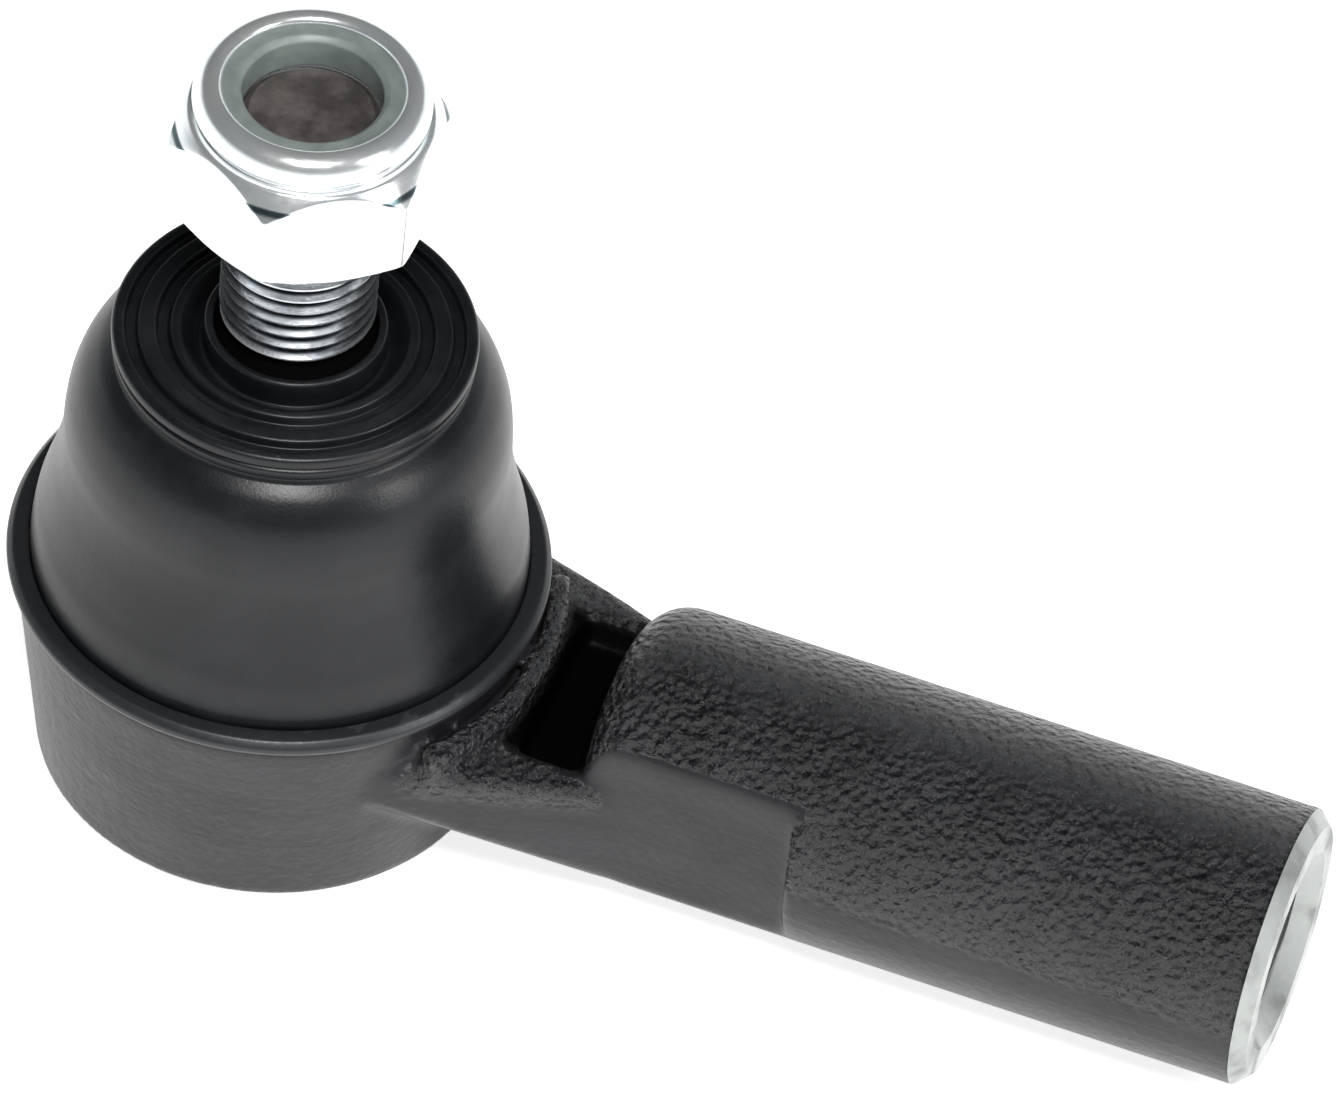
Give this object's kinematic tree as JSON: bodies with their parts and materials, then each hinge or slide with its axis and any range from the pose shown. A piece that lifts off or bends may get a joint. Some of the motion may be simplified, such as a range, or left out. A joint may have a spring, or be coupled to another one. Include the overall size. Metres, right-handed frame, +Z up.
{
  "type": "tie rod end",
  "caption": "Forged tie rod end with a threaded shank, ball stud in plastic seats, rubber dust boot and nylon-insert lock nut.",
  "frame": {"origin": "ball centre, on the axis of the shank", "axes": "+Z up the stud, out of the ball; +X along the shank, out of its threaded mouth"},
  "size_m": [0.1047, 0.0422, 0.0706],
  "materials": {
    "forging": "satin black paint over a forged skin",
    "zinc_steel": "bright zinc plate",
    "stud_steel": "ground and rolled steel",
    "black_steel": "black phosphate",
    "cover_steel": "pressed zinc plated sheet",
    "acetal": "moulded acetal",
    "boot_rubber": "matte chloroprene rubber",
    "nylon": "grey-green nylon"
  },
  "bodies": {
    "housing_body": {"housing": "forging", "end_cover": "cover_steel", "upper_ball_seat": "acetal", "lower_ball_seat": "acetal", "preload_spring": "stud_steel", "boot_retaining_ring": "black_steel"},
    "boot_body": {"dust_boot": "boot_rubber"},
    "lip_body": {"boot_lip_ring": "black_steel"},
    "stud_body": {"ball_stud": "stud_steel"},
    "insert_body": {"nylon_insert": "nylon"},
    "nut_body": {"lock_nut": "zinc_steel"}
  },
  "joints": [
    {"name": "swing_direction", "type": "hinge", "parent": "housing_body", "child": "boot_body", "pos_m": [0, 0, 0], "axis": [0, 0, 1], "continuous": true},
    {"name": "stud_tilt", "type": "hinge", "parent": "boot_body", "child": "lip_body", "pos_m": [0, 0, 0], "axis": [0, 1, 0], "range_deg": [-25, 25], "deforming": ["dust_boot"]},
    {"name": "stud_spin", "type": "hinge", "parent": "lip_body", "child": "stud_body", "pos_m": [0, 0, 0], "axis": [0, 0, 1], "continuous": true},
    {"name": "nut_travel", "type": "slide", "parent": "stud_body", "child": "insert_body", "axis": [0, 0, 1], "range_m": [-0.0115, 0.0065], "deforming": ["nylon_insert"]},
    {"name": "nut_turn", "type": "hinge", "parent": "insert_body", "child": "nut_body", "pos_m": [0, 0, 0], "axis": [0, 0, 1], "range_deg": [-3313, 1873]}
  ],
  "couplings": [
    {"joint": "nut_turn", "follows": "nut_travel", "rad_per_m": 5026.5}
  ]
}
